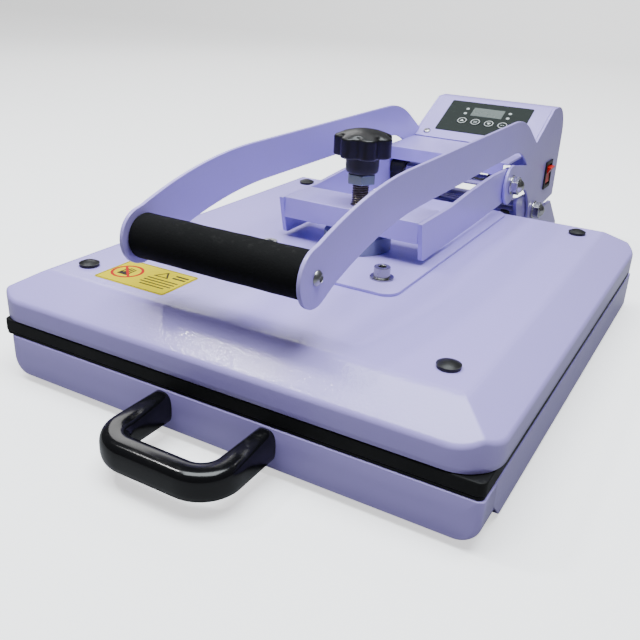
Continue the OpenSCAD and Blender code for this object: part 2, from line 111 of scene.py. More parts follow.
def backdrop():
    """A floor that bends up into a wall behind the press."""
    bend = arc(FLOOR_BACK, BEND_R, BEND_R, -90, 0, BEND_STEPS)
    run = [(FLOOR_FRONT, 0.0), *bend, (FLOOR_BACK + BEND_R, WALL_TOP)]
    bm = bmesh.new()
    rows = [[bm.verts.new((x, y, z)) for x in (-FLOOR_HALF_W, FLOOR_HALF_W)] for y, z in run]
    for a, b in zip(rows, rows[1:]):
        bm.faces.new((a[0], a[1], b[1], b[0]))
    thing = object_from(bm, "backdrop")
    thing.data.shade_smooth()
    return thing


def backdrop_paper():
    """White paper to the camera that throws less light back than it shows, as if flagged off."""
    material = bpy.data.materials.new("backdrop_paper")
    material.use_nodes = True
    tree = material.node_tree
    shader = tree.nodes["Principled BSDF"]
    shader.inputs["Roughness"].default_value = 0.9
    shader.inputs["Emission Color"].default_value = (1, 1, 1, 1)
    seen = tree.nodes.new("ShaderNodeLightPath").outputs["Is Camera Ray"]
    tone = tree.nodes.new("ShaderNodeMix")
    tone.data_type = "RGBA"
    tone.inputs["A"].default_value = (0.24, 0.24, 0.25, 1)
    tone.inputs["B"].default_value = (0.95, 0.95, 0.96, 1)
    tree.links.new(seen, tone.inputs["Factor"])
    tree.links.new(seen, shader.inputs["Emission Strength"])
    tree.links.new(tone.outputs["Result"], shader.inputs["Base Color"])
    return material


floor = backdrop()
floor.data.materials.append(backdrop_paper())

# ---- Powder-coated sheet metal of the base -------------------------------------------------------
# Chassis tray, its two uprights and the brace between them: folded steel sheet with a lilac powder
# coat. Edges are eased, because a powder coat never leaves a sharp arris.
LILAC = (0.45, 0.365, 0.86)
LILAC_WORN = (0.55, 0.54, 0.90)
DUST_GREY = (0.55, 0.53, 0.50)
EDGE_REACH = 0.0012
COAT_WEIGHT, COAT_ROUGHNESS = 0.5, 0.06
PEEL_SCALE, PEEL_DEPTH, PEEL_DISTANCE = 420.0, 0.55, 0.0005
SHARP_ANGLE = 30
WELD_GAP = 2e-6


def node_group(name, inputs, outputs):
    """An empty shader group with float inputs {name: default} and outputs {name: socket type}."""
    tree = bpy.data.node_groups.new(name, "ShaderNodeTree")
    for key, value in inputs.items():
        socket = tree.interface.new_socket(name=key, in_out="INPUT", socket_type="NodeSocketFloat")
        socket.default_value = value
    for key, kind in outputs.items():
        tree.interface.new_socket(name=key, in_out="OUTPUT", socket_type=kind)
    return tree, tree.nodes.new("NodeGroupInput"), tree.nodes.new("NodeGroupOutput")


def wire(tree, *pairs):
    """Links each pair of an output and an input."""
    for a, b in pairs:
        tree.links.new(a, b)


def add(tree, kind, **settings):
    """A new node with its sockets, or else its own settings, given by name."""
    thing = tree.nodes.new(kind)
    for key, value in settings.items():
        if key in thing.inputs:
            thing.inputs[key].default_value = value
        else:
            setattr(thing, key, value)
    return thing


def spread(tree, source, low, high, to_low=0.0, to_high=1.0):
    """source rescaled from low..high to to_low..to_high, and held there."""
    ramp = tree.nodes.new("ShaderNodeMapRange")
    for i, value in enumerate((low, high, to_low, to_high)):
        ramp.inputs[i + 1].default_value = value
    tree.links.new(source, ramp.inputs[0])
    return ramp.outputs[0]


def grain_group():
    """Fine relief of a coat or casting: a normal from noise in object space."""
    tree, given, out = node_group("grain", {"Scale": 600.0, "Depth": 0.1, "Distance": 0.0003},
                                  {"Normal": "NodeSocketVector"})
    place = add(tree, "ShaderNodeTexCoord")
    fine = add(tree, "ShaderNodeTexNoise", Detail=2.0, Roughness=0.5)
    bump = add(tree, "ShaderNodeBump")
    wire(tree, (place.outputs["Object"], fine.inputs["Vector"]),
         (given.outputs["Scale"], fine.inputs["Scale"]),
         (fine.outputs["Fac"], bump.inputs["Height"]),
         (given.outputs["Depth"], bump.inputs["Strength"]),
         (given.outputs["Distance"], bump.inputs["Distance"]),
         (bump.outputs["Normal"], out.inputs["Normal"]))
    return tree


def wear_group():
    """Masks of rubbed convex edges, of settled dust and of uneven gloss."""
    masks = dict.fromkeys(("Edges", "Dust", "Gloss"), "NodeSocketFloat")
    tree, given, out = node_group("wear", {"Edge": 1.0, "Dust": 1.0, "Gloss scale": 30.0}, masks)
    place = add(tree, "ShaderNodeTexCoord")
    inside = add(tree, "ShaderNodeAmbientOcclusion", samples=4, inside=True, Distance=EDGE_REACH)
    patchy = add(tree, "ShaderNodeTexNoise", Scale=55.0, Detail=4.0, Roughness=0.65)
    edge = add(tree, "ShaderNodeMath", operation="MULTIPLY")
    edge_set = add(tree, "ShaderNodeMath", operation="MULTIPLY")
    facing = add(tree, "ShaderNodeSeparateXYZ")
    geometry = add(tree, "ShaderNodeNewGeometry")
    specks = add(tree, "ShaderNodeTexNoise", Scale=210.0, Detail=3.0, Roughness=0.7)
    dust = add(tree, "ShaderNodeMath", operation="MULTIPLY")
    dust_set = add(tree, "ShaderNodeMath", operation="MULTIPLY")
    cloud = add(tree, "ShaderNodeTexNoise", Detail=5.0, Roughness=0.6)
    wire(tree, (place.outputs["Object"], patchy.inputs["Vector"]),
         (place.outputs["Object"], specks.inputs["Vector"]),
         (place.outputs["Object"], cloud.inputs["Vector"]),
         (spread(tree, inside.outputs["AO"], 0.75, 0.35), edge.inputs[0]),
         (spread(tree, patchy.outputs["Fac"], 0.42, 0.62), edge.inputs[1]),
         (edge.outputs[0], edge_set.inputs[0]),
         (given.outputs["Edge"], edge_set.inputs[1]),
         (edge_set.outputs[0], out.inputs["Edges"]),
         (geometry.outputs["Normal"], facing.inputs[0]),
         (spread(tree, facing.outputs["Z"], 0.6, 1.0), dust.inputs[0]),
         (spread(tree, specks.outputs["Fac"], 0.56, 0.72), dust.inputs[1]),
         (dust.outputs[0], dust_set.inputs[0]),
         (given.outputs["Dust"], dust_set.inputs[1]),
         (dust_set.outputs[0], out.inputs["Dust"]),
         (given.outputs["Gloss scale"], cloud.inputs["Scale"]),
         (cloud.outputs["Fac"], out.inputs["Gloss"]))
    return tree


grain = grain_group()
wear = wear_group()


def surface(name, colour, worn, roughness, bump=(600.0, 0.1, 0.0003), edge=1.0, dust=0.03, swing=0.08,
            metal=0.0, specular=0.5):
    """A material with fine grain, rubbed edges, a little dust and uneven gloss.

    bump is the scale, depth and distance of the grain, and swing is how far the roughness goes to
    either side.
    """
    material = bpy.data.materials.new(name)
    material.use_nodes = True
    tree = material.node_tree
    shader = tree.nodes["Principled BSDF"]
    shader.inputs["Metallic"].default_value = metal
    shader.inputs["Specular IOR Level"].default_value = specular
    marks = add(tree, "ShaderNodeGroup", node_tree=wear)
    marks.inputs["Edge"].default_value = edge
    marks.inputs["Dust"].default_value = dust
    relief = add(tree, "ShaderNodeGroup", node_tree=grain)
    for key, value in zip(("Scale", "Depth", "Distance"), bump):
        relief.inputs[key].default_value = value
    rubbed = add(tree, "ShaderNodeMix", data_type="RGBA")
    rubbed.inputs["A"].default_value = (*colour, 1)
    rubbed.inputs["B"].default_value = (*worn, 1)
    dusty = add(tree, "ShaderNodeMix", data_type="RGBA")
    dusty.inputs["B"].default_value = (*DUST_GREY, 1)
    gloss = spread(tree, marks.outputs["Gloss"], 0.3, 0.7, roughness - swing, roughness + swing)
    wire(tree, (marks.outputs["Edges"], rubbed.inputs["Factor"]),
         (rubbed.outputs["Result"], dusty.inputs["A"]),
         (marks.outputs["Dust"], dusty.inputs["Factor"]),
         (dusty.outputs["Result"], shader.inputs["Base Color"]),
         (gloss, shader.inputs["Roughness"]),
         (relief.outputs["Normal"], shader.inputs["Normal"]))
    return material


def gloss_skin(material):
    """A clear skin over a material, rippled like orange peel."""
    tree = material.node_tree
    shader = tree.nodes["Principled BSDF"]
    shader.inputs["Coat Weight"].default_value = COAT_WEIGHT
    shader.inputs["Coat Roughness"].default_value = COAT_ROUGHNESS
    place = add(tree, "ShaderNodeTexCoord")
    ripple = add(tree, "ShaderNodeTexNoise", Scale=PEEL_SCALE, Detail=2.0, Roughness=0.5)
    bump = add(tree, "ShaderNodeBump", Strength=PEEL_DEPTH, Distance=PEEL_DISTANCE)
    wire(tree, (place.outputs["Object"], ripple.inputs["Vector"]),
         (ripple.outputs["Fac"], bump.inputs["Height"]),
         (bump.outputs["Normal"], shader.inputs["Coat Normal"]))


powder = surface("powder_coat", LILAC, LILAC_WORN, 0.38, bump=(520.0, 0.2, 0.0004), edge=0.8, dust=0.04,
                 swing=0.05, specular=0.35)
gloss_skin(powder)


def finish_piece(thing, material, body, replaced=()):
    """Gives a piece its material and body, and hides the CAD nodes it stands for."""
    thing.data.materials.clear()
    thing.data.materials.append(material)
    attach(thing, body)
    if replaced:
        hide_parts(*replaced)
    return thing


def smooth_shaded(thing, angle=SHARP_ANGLE):
    """Smooth shading with sharp edges past an angle, and flat faces kept flat."""
    thing.data.shade_smooth()
    thing.data.set_sharp_from_angle(angle=math.radians(angle))
    level = thing.modifiers.new("flat_faces", "WEIGHTED_NORMAL")
    level.keep_sharp = True


def eased_piece(node, material, body, radius=0.0005, segments=2):
    """A merged copy of a CAD node, with its sharp edges rounded, in that node's place."""
    bm = bmesh.new()
    bm.from_mesh(nodes[node].data)
    bm.transform(nodes[node].matrix_world)
    bmesh.ops.remove_doubles(bm, verts=bm.verts, dist=WELD_GAP)
    bmesh.ops.dissolve_limit(bm, angle_limit=math.radians(0.4), verts=bm.verts, edges=bm.edges)
    sharp = [e for e in bm.edges
             if len(e.link_faces) == 2 and e.calc_face_angle(0) > math.radians(SHARP_ANGLE)]
    bmesh.ops.bevel(bm, geom=sharp, offset=radius, offset_type="OFFSET", segments=segments, profile=0.5,
                    affect="EDGES", clamp_overlap=False, material=-1)
    bmesh.ops.recalc_face_normals(bm, faces=bm.faces)
    thing = object_from(bm, node + "_look")
    smooth_shaded(thing)
    return finish_piece(thing, material, body, [node])


for node in ("chassis", "left_upright", "right_upright", "rear_brace"):
    eased_piece(node, powder, "root", 0.0006)

# ---- Fasteners, shafts and slides of the base ----------------------------------------------------
# Zinc-plated bolts hold the uprights, and rolled zinc-plated channels carry the drawer. The main
# shaft and its domed nuts are turned and chromed, and the feet are black rubber.
zinc = surface("zinc_plate", (0.40, 0.40, 0.40), (0.58, 0.58, 0.58), 0.30, bump=(900.0, 0.12, 0.0001),
               edge=0.6, metal=1.0, swing=0.1)
chrome = surface("chrome_plate", (0.52, 0.52, 0.53), (0.70, 0.70, 0.71), 0.22, bump=(300.0, 0.03, 0.0001),
                 edge=0.3, metal=1.0, swing=0.05)
foot_rubber = surface("foot_rubber", (0.018, 0.018, 0.02), (0.06, 0.06, 0.06), 0.75,
                      bump=(900.0, 0.3, 0.0002), dust=0.08)
for node in ("upright_bolts", "slide_channels"):
    eased_piece(node, zinc, "root", 0.0003)
for node in ("main_shaft", "main_shaft_nuts"):
    eased_piece(node, chrome, "root")
eased_piece("rubber_feet", foot_rubber, "root", 0.0008)

# ---- Drawer: panel, frame and slides -------------------------------------------------------------
# A folded front panel with rounded lower corners and a folded frame behind it, both powder-coated
# like the base. The frame runs on the inner rails of two telescopic slides, which are zinc-plated.
PANEL_T, PANEL_EASE, PANEL_SIDE_R, PANEL_LOW_R, PANEL_INSET = 0.002, 0.0008, 0.004, 0.013, 0.012
SIDE_STEPS, TOP_STEPS, LOW_STEPS = 8, 5, 12


def bridge_rings(bm, rings):
    """Joins each closed ring of vertices to the next one with faces."""
    loops = [[bm.edges.new(pair) for pair in zip(ring, ring[1:] + ring[:1])] for ring in rings]
    for near, far in zip(loops, loops[1:]):
        bmesh.ops.bridge_loops(bm, edges=near + far)


def sheet_from(bm, name, thickness, cap, outward):
    """A sheet from its outer face, with the cap facing outward and the thickness grown inwards."""
    bmesh.ops.recalc_face_normals(bm, faces=bm.faces)
    if cap.normal.dot(Vector(outward)) < 0:
        bmesh.ops.reverse_faces(bm, faces=bm.faces)
    thing = object_from(bm, name)
    thing.data.shade_smooth()
    wall = thing.modifiers.new("sheet", "SOLIDIFY")
    wall.thickness = thickness
    wall.offset = -1
    return thing


def panel_outline(half_x, bottom, top, low_radius, ease):
    """The panel's outline with rounded corners, its left half a mirror of its right half."""
    upper = arc(half_x - ease, top - ease, ease, 0, 90, TOP_STEPS)
    lower = arc(half_x - low_radius, bottom + low_radius, low_radius, -90, 0, LOW_STEPS)
    return (upper + [(-x, z) for x, z in reversed(upper)]
            + [(-x, z) for x, z in reversed(lower)] + lower)


def panel_tray():
    """The front panel as one outer skin, from the middle of its face to its open back."""
    low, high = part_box("drawer_panel")
    mid_x, half_x = (low[0] + high[0]) / 2, (high[0] - low[0]) / 2
    stations = [(0.0, PANEL_INSET, PANEL_INSET), (0.0, PANEL_SIDE_R, PANEL_EASE)]
    for run, rise in arc(0, 0, 1, 0, 90, SIDE_STEPS)[1:]:
        back = PANEL_SIDE_R * (1 - run)
        ease = max(0.0, PANEL_EASE - back)
        level = PANEL_EASE - math.sqrt(PANEL_EASE ** 2 - ease ** 2)
        stations.append((back, PANEL_SIDE_R * (1 - rise), level))
    stations.append((high[1] - low[1], 0.0, 0.0))
    bm = bmesh.new()
    rings = []
    for back, side, level in stations:
        ease = PANEL_EASE / 2 if level > PANEL_EASE else PANEL_EASE
        outline = panel_outline(half_x - side, low[2] + level, high[2] - level, PANEL_LOW_R - level, ease)
        rings.append([bm.verts.new((mid_x + x, low[1] + back, z)) for x, z in outline])
    bridge_rings(bm, rings)
    face = bm.faces.new(rings[0])
    return sheet_from(bm, "panel_tray", PANEL_T, face, (0, -1, 0))


finish_piece(panel_tray(), powder, "drawer", ["drawer_panel"])
eased_piece("drawer_frame", powder, "drawer", 0.0006)
for node in ("slide_runners", "pull_handle_screws"):
    eased_piece(node, zinc, "drawer", 0.0003)

# ---- Lower platen and silicone pad ---------------------------------------------------------------
# A blackened cast plate lies on the drawer frame, and a thick black silicone sheet, whose cut edge
# is soft and slightly rounded, lies on the plate.
silicone = surface("silicone_sheet", (0.004, 0.004, 0.0045), (0.015, 0.015, 0.015), 0.62,
                   bump=(1400.0, 0.2, 0.0002), dust=0.02, swing=0.06, specular=0.25)
eased_piece("lower_platen", silicone, "drawer")
eased_piece("silicone_pad", silicone, "drawer", 0.0012, 3)

# ---- Pull handle ---------------------------------------------------------------------------------
# A glossy black moulded bow, held by two screws through the panel. Its section is a soft oval that
# is taller at the legs than at the bar.
BOW_LEG_W, BOW_BAR_D, BOW_CORNER, BOW_THINNING = 0.0158, 0.0195, 0.020, 0.0012
OVAL_POWER, OVAL_STEPS, LEG_ROWS, CORNER_ROWS = 3.0, 40, 8, 16
gloss_black = surface("gloss_black", (0.004, 0.004, 0.005), (0.03, 0.03, 0.033), 0.17,
                      bump=(260.0, 0.04, 0.0002), edge=0.2, swing=0.05, specular=0.4)


def tube_along(name, sections):
    """A closed solid through rings of points: each ring is a list of corners, ends capped."""
    bm = bmesh.new()
    rings = [[bm.verts.new(p) for p in ring] for ring in sections]
    bridge_rings(bm, rings)
    bm.faces.new(rings[0])
    bm.faces.new(rings[-1])
    bmesh.ops.recalc_face_normals(bm, faces=bm.faces)
    return object_from(bm, name)


def super_oval(half_w, half_h):
    """Points of an oval that is squared off by OVAL_POWER (2 would be an ellipse)."""
    points = []
    for i in range(OVAL_STEPS):
        a = 2 * math.pi * i / OVAL_STEPS
        c, s = math.cos(a), math.sin(a)
        points.append((half_w * math.copysign(abs(c) ** (2 / OVAL_POWER), c),
                       half_h * math.copysign(abs(s) ** (2 / OVAL_POWER), s)))
    return points


def pull_bow():
    """The bow: out along one leg, round a corner, and mirrored back to the panel."""
    low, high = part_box("pull_handle")
    x0, x1 = low[0] + BOW_LEG_W / 2, high[0] - BOW_LEG_W / 2
    wall_y, bar_y = high[1], low[1] + BOW_BAR_D / 2
    mid_z, tall = (low[2] + high[2]) / 2, (high[2] - low[2]) / 2
    leg = wall_y - bar_y - BOW_CORNER
    path = [(x0, wall_y - leg * i / LEG_ROWS, -90) for i in range(LEG_ROWS)]
    corner = arc(x0 + BOW_CORNER, bar_y + BOW_CORNER, BOW_CORNER, 180, 270, CORNER_ROWS)
    path += [(x, y, -90 + 90 * i / CORNER_ROWS) for i, (x, y) in enumerate(corner)]
    path += [(x0 + x1 - x, y, -turn) for x, y, turn in reversed(path)]
    sections = []
    for x, y, turn in path:
        outward = min(1.0, max(0.0, (wall_y - y) / (wall_y - bar_y)))
        blend = outward ** 2 * (3 - 2 * outward)
        half_h = tall - BOW_THINNING * blend
        half_w = (BOW_LEG_W * (1 - blend) + BOW_BAR_D * blend) / 2
        across = Vector((math.cos(math.radians(turn + 90)), math.sin(math.radians(turn + 90)), 0))
        sections.append([Vector((x, y, mid_z + v)) + across * u for u, v in super_oval(half_w, half_h)])
    return tube_along("pull_bow", sections)


bow = pull_bow()
smooth_shaded(bow, 50)
finish_piece(bow, gloss_black, "drawer", ["pull_handle"])

# ---- Heated head: cover --------------------------------------------------------------------------
# One pressed sheet: a flat top, four sloping hips that meet in soft mitres, and an upright skirt
# with rounded corners. The sheet is modelled as its outer face and given its thickness inwards.
SHEET_T, SKIRT_FILLET, CORNER_R, HIP_W, HIP_RISE = 0.0015, 0.0032, 0.028, 0.030, 0.0176
MITRE_BAND, TOP_BAND, TIGHTEST_R, HEM = 0.0012, 0.0016, 0.0004, 0.0006
CORNER_STEPS, FILLET_STEPS = 24, 8
SKIRT_ROWS = (HEM, 0.004, 0.008)
HIP_ROWS = (0.006, 0.010, 0.015, 0.020, 0.025, *(0.027 + 0.0005 * i for i in range(11)), 0.033, 0.035)


def soft_min(a, b, band):
    """The lower of a and b, rounded over a band where they cross."""
    h = max(0.0, min(1.0, 0.5 + 0.5 * (b - a) / band))
    return b * (1 - h) + a * h - band * h * (1 - h)


def cover_outline(half_x, half_y, radius):
    """Points of a rounded rectangle round the origin, the same number for every size."""
    points = []
    for quarter, (sx, sy) in enumerate(((1, 1), (-1, 1), (-1, -1), (1, -1))):
        points += arc(sx * (half_x - radius), sy * (half_y - radius), radius,
                      90 * quarter, 90 * quarter + 90, CORNER_STEPS)
    return points


def cover_press():
    """The cover's outer face, in rings from its hem up the skirt and in over the hips."""
    low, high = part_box("cover_shell")
    mid_x, mid_y = (low[0] + high[0]) / 2, (low[1] + high[1]) / 2
    half_x, half_y = (high[0] - low[0]) / 2, (high[1] - low[1]) / 2
    top, shoulder = high[2], high[2] - HIP_RISE

    def height(x, y):
        in_x, in_y = half_x - abs(x), half_y - abs(y)
        hip = soft_min(shoulder + in_x * HIP_RISE / HIP_W, shoulder + in_y * HIP_RISE / HIP_W, MITRE_BAND)
        return soft_min(hip, top, TOP_BAND)

    bm = bmesh.new()
    rings = []

    def add_ring(inset, z_of):
        outline = cover_outline(half_x - inset, half_y - inset, max(CORNER_R - inset, TIGHTEST_R))
        rings.append([bm.verts.new((mid_x + x, mid_y + y, z_of(x, y))) for x, y in outline])

    add_ring(HEM, lambda x, y: low[2])
    for z in SKIRT_ROWS:
        add_ring(0.0, lambda x, y: low[2] + z)
    for run, rise in arc(0, 0, 1, 0, 90, FILLET_STEPS):
        drop = SKIRT_FILLET * (1 - rise) * 0.9
        add_ring(SKIRT_FILLET * (1 - run) * 0.75, lambda x, y: height(x, y) - drop)
    for inset in HIP_ROWS:
        add_ring(inset, height)
    bridge_rings(bm, rings)
    face = bm.faces.new(rings[-1])
    return sheet_from(bm, "cover_press", SHEET_T, face, (0, 0, 1))


finish_piece(cover_press(), powder, "heated_head", ["cover_shell"])

# ---- Heated head: mount plate, boss, screws and caps ---------------------------------------------
# A laser-cut plate is held by four socket screws with washers. The turned steel boss takes the
# screw's thrust, and satin black caps close the four holes over the platen's studs.
steel = surface("turned_steel", (0.26, 0.29, 0.36), (0.40, 0.42, 0.48), 0.38, bump=(500.0, 0.1, 0.0002),
                metal=0.75, edge=0.6)
satin_black = surface("satin_black", (0.010, 0.010, 0.011), (0.04, 0.04, 0.04), 0.42,
                      bump=(800.0, 0.25, 0.0002), dust=0.03, specular=0.3)
eased_piece("mount_plate", powder, "heated_head")
eased_piece("pressing_boss", steel, "heated_head", 0.0008, 3)
eased_piece("mount_screws", zinc, "heated_head")
for node in ("corner_caps", "lead_gland"):
    eased_piece(node, satin_black, "heated_head", 0.0004)

# ---- Heated head: inner parts --------------------------------------------------------------------
# The cast platen hangs on spacers under the cover. Its tubular element is laid in passes on its
# back, next to the temperature probe, with a blanket of mineral wool over them.
alloy = surface("cast_alloy", (0.62, 0.63, 0.65), (0.75, 0.75, 0.76), 0.34, bump=(700.0, 0.15, 0.0002),
                metal=1.0)
element = surface("heat_tinted_steel", (0.30, 0.24, 0.20), (0.45, 0.40, 0.36), 0.45, metal=0.8)
wool = surface("mineral_wool", (0.75, 0.70, 0.56), (0.8, 0.78, 0.7), 0.95, bump=(900.0, 0.8, 0.001))


def coat_node(node, material):
    """A CAD node that keeps its own mesh and is given a material."""
    nodes[node].data.materials.clear()
    nodes[node].data.materials.append(material)


eased_piece("heated_platen", alloy, "heated_head", 0.0006)
coat_node("heating_element", element)
coat_node("insulation", wool)
coat_node("platen_spacers", zinc)
coat_node("temperature_probe", zinc)

# ---- Heated head: caution label ------------------------------------------------------------------
# A yellow vinyl label with a thin dark border, a red ban ring over a dark hand-like mark, a warning
# triangle and plain bars in place of any words. The inks are thin slips on the film.
INK_RISE, DISC_STEPS, RULE_W, BORDER_IN = 0.00004, 36, 0.0006, 0.001
RING_X, RING_R, RING_BAR_W, FINGERS, TEXT_BARS = -0.019, 0.0128, 0.0022, 4, 4
yellow = surface("label_yellow", (0.62, 0.50, 0.0), (0.9, 0.7, 0.2), 0.75, bump=(300.0, 0.05, 0.0002),
                 edge=0.0, dust=0.02, specular=0.08)
label_ink = surface("label_ink", (0.03, 0.022, 0.02), (0.1, 0.1, 0.1), 0.6, edge=0.0, dust=0.02,
                    specular=0.1)
label_red = surface("label_red", (0.45, 0.01, 0.01), (0.8, 0.2, 0.15), 0.6, edge=0.0, dust=0.02,
                    specular=0.1)


def print_shapes(name, shapes, place, material, body):
    """Thin closed slips of ink on place's XY plane: shapes are (outline, inner outline or None)."""
    bm = bmesh.new()
    for outlines in shapes:
        loops = [[bm.verts.new((x, y, 0)) for x, y in outline] for outline in outlines if outline]
        if len(loops) == 1:
            bm.faces.new(loops[0])
        else:
            bridge_rings(bm, loops)
    raised = bmesh.ops.extrude_face_region(bm, geom=bm.faces[:])["geom"]
    bmesh.ops.translate(bm, verts=[v for v in raised if isinstance(v, bmesh.types.BMVert)],
                        vec=(0, 0, INK_RISE))
    bm.transform(place)
    bmesh.ops.recalc_face_normals(bm, faces=bm.faces)
    return finish_piece(object_from(bm, name), material, body)


def disc(x, y, radius):
    """Outline of a disc."""
    return arc(x, y, radius, 0, 360, DISC_STEPS)[:-1]


def bar(x, y, w, h, turn=0.0):
    """Outline of a rectangle round x, y, turned by an angle in degrees."""
    c, s = math.cos(math.radians(turn)), math.sin(math.radians(turn))
    corners = ((-w / 2, -h / 2), (w / 2, -h / 2), (w / 2, h / 2), (-w / 2, h / 2))
    return [(x + c * u - s * v, y + s * u + c * v) for u, v in corners]


eased_piece("caution_label", yellow, "heated_head", 0.00008, 1)
low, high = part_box("caution_label")
on_label = Matrix.Translation(((low[0] + high[0]) / 2, (low[1] + high[1]) / 2, high[2]))
over_ink = on_label @ Matrix.Translation((0, 0, INK_RISE))
border_w, border_d = high[0] - low[0] - 2 * BORDER_IN, high[1] - low[1] - 2 * BORDER_IN
border = [(bar(0, 0, border_w, border_d), bar(0, 0, border_w - 2 * RULE_W, border_d - 2 * RULE_W))]
ban_ring = [(disc(RING_X, 0.0, RING_R), disc(RING_X, 0.0, RING_R - RING_BAR_W))]
ban_bar = [(bar(RING_X, 0, 0.022, 0.002, -45), None)]
hand = [(bar(RING_X - 0.004 + 0.0026 * i, 0.002 + 0.0009 * (1 - abs(i - 1.3)), 0.0016, 0.0085), None)
        for i in range(FINGERS)]
hand.append((bar(RING_X - 0.0002, -0.004, 0.0098, 0.005), None))
marks = [([(0.002, 0.0055), (0.016, 0.0055), (0.009, 0.0165)],
          [(0.0045, 0.0068), (0.0135, 0.0068), (0.009, 0.0138)]),
         (bar(0.024, 0.0135, 0.012, 0.0022), None), (bar(0.024, 0.009, 0.012, 0.0022), None)]
marks += [(bar(0.015, 0.001 - 0.0042 * i, 0.029, 0.0016), None) for i in range(TEXT_BARS - 1)]
marks.append((bar(0.015, 0.001 - 0.0042 * (TEXT_BARS - 1), 0.023, 0.0016), None))
for name, shapes, place, ink in (("label_border", border, on_label, label_ink),
                                 ("label_ban_ring", ban_ring, on_label, label_red),
                                 ("label_ban_bar", ban_bar, over_ink, label_red),
                                 ("label_hand", hand, on_label, label_ink),
                                 ("label_marks", marks, on_label, label_ink)):
    print_shapes(name, shapes, place, ink, "heated_head")

# ---- Carrier: arms, crossbar and bush ------------------------------------------------------------
# Two flat arms of powder-coated plate, welded to a folded crossbar over the boss. A zinc-plated
# bush under the crossbar guides the screw.
for node in ("left_carrier_arm", "right_carrier_arm", "carrier_crossbar"):
    eased_piece(node, powder, "carrier", 0.0007)
eased_piece("screw_bush", zinc, "carrier", 0.0004)

# ---- Pressing screw and jam nut ------------------------------------------------------------------
# A dark oiled M14 screw with a rolled thread, which fades out at both ends, and a plated hexagon
# nut that locks the knob on it.
THREAD_PITCH, THREAD_DEPTH, THREAD_FLANK, THREAD_CREST = 0.002, 0.0011, 2.7, 1.35
ROWS_A_TURN, STEPS_ROUND, FADE_ROWS = 8, 48, 6
oiled_steel = surface("oiled_steel", (0.17, 0.15, 0.12), (0.80, 0.77, 0.70), 0.27,
                      bump=(800.0, 0.1, 0.0001), metal=1.0, edge=1.0)


def threaded_screw():
    """The rod as rings whose radius follows the helix of the thread."""
    low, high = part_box("pressure_rod")
    cx, cy, radius = (low[0] + high[0]) / 2, (low[1] + high[1]) / 2, (high[0] - low[0]) / 2
    length = high[2] - low[2]
    rows = int(length / THREAD_PITCH * ROWS_A_TURN)
    sections = []
    for row in range(rows + 1):
        rise = length * row / rows
        fade = min(1.0, row / FADE_ROWS, (rows - row) / FADE_ROWS)
        ring = []
        for i in range(STEPS_ROUND):
            turn = i / STEPS_ROUND
            phase = (rise / THREAD_PITCH - turn) % 1.0
            crest = min(1.0, max(0.0, THREAD_CREST - THREAD_FLANK * abs(phase - 0.5)))
            r = radius - THREAD_DEPTH * (1 - crest * fade)
            ring.append((cx + r * math.cos(2 * math.pi * turn), cy + r * math.sin(2 * math.pi * turn),
                         low[2] + rise))
        sections.append(ring)
    return tube_along("threaded_screw", sections)


screw = threaded_screw()
smooth_shaded(screw, 60)
finish_piece(screw, oiled_steel, "screw_knob", ["pressure_rod"])
blue_zinc = surface("blue_zinc", (0.24, 0.28, 0.33), (0.40, 0.43, 0.46), 0.28, bump=(900.0, 0.12, 0.0001),
                    edge=0.8, metal=1.0, swing=0.08)
eased_piece("jam_nut", blue_zinc, "screw_knob", 0.0008, 3)

# ---- Star knob -----------------------------------------------------------------------------------
# A moulded black knob on the screw's top: plain hub, seven soft lobes with rolled rims and a low
# glossy dome on top.
LOBES, LOBE_DEPTH, HUB_R, LOBE_LOW, LOBE_HIGH = 7, 0.0042, 0.0139, 0.0144, 0.0305
LOW_ROLL, HIGH_ROLL, DOME_TIP_R, LOBE_FADE = 0.0016, 0.0022, 0.0006, 0.78
KNOB_STEPS, ROLL_ROWS, DOME_ROWS = 168, 6, 12


def lobed_radius(angle, reach):
    """Radius at an angle of the lobed outline whose tips are at reach."""
    notch = 0.5 - 0.5 * math.cos(LOBES * angle)
    return reach - LOBE_DEPTH * notch ** 1.7


def knob_profile(reach, tall):
    """Radius, height and lobedness (0 round to 1 lobed) from the hub's foot to the dome's tip."""
    profile = [(0.0078, 0, 0), (0.0112, 0, 0), (0.0128, 0.0007, 0), (0.0135, 0.0022, 0), (HUB_R, 0.006, 0),
               (HUB_R, LOBE_LOW - 0.0012, 0), (HUB_R + 0.0006, LOBE_LOW - 0.0004, 0.1)]
    for run, rise in arc(0, 0, LOW_ROLL, 0, 90, ROLL_ROWS):
        profile.append((reach - LOW_ROLL + rise, LOBE_LOW + LOW_ROLL - run, 1))
    rim = LOBE_HIGH - LOW_ROLL
    profile.append((reach, rim - 0.003, 1))
    for run, rise in arc(0, 0, HIGH_ROLL, 0, 75, ROLL_ROWS):
        profile.append((reach - HIGH_ROLL + run, rim + rise, 1))
    dome_r, dome_z = profile[-1][0], profile[-1][1]
    for i in range(1, DOME_ROWS + 1):
        t = i / DOME_ROWS
        r = dome_r * (1 - t) + DOME_TIP_R * t
        rise = 1 - (r / dome_r) ** 2
        lobed = max(0.0, (r / dome_r - LOBE_FADE) / (1 - LOBE_FADE))
        profile.append((r, dome_z + (tall - dome_z) * rise, lobed))
    return profile


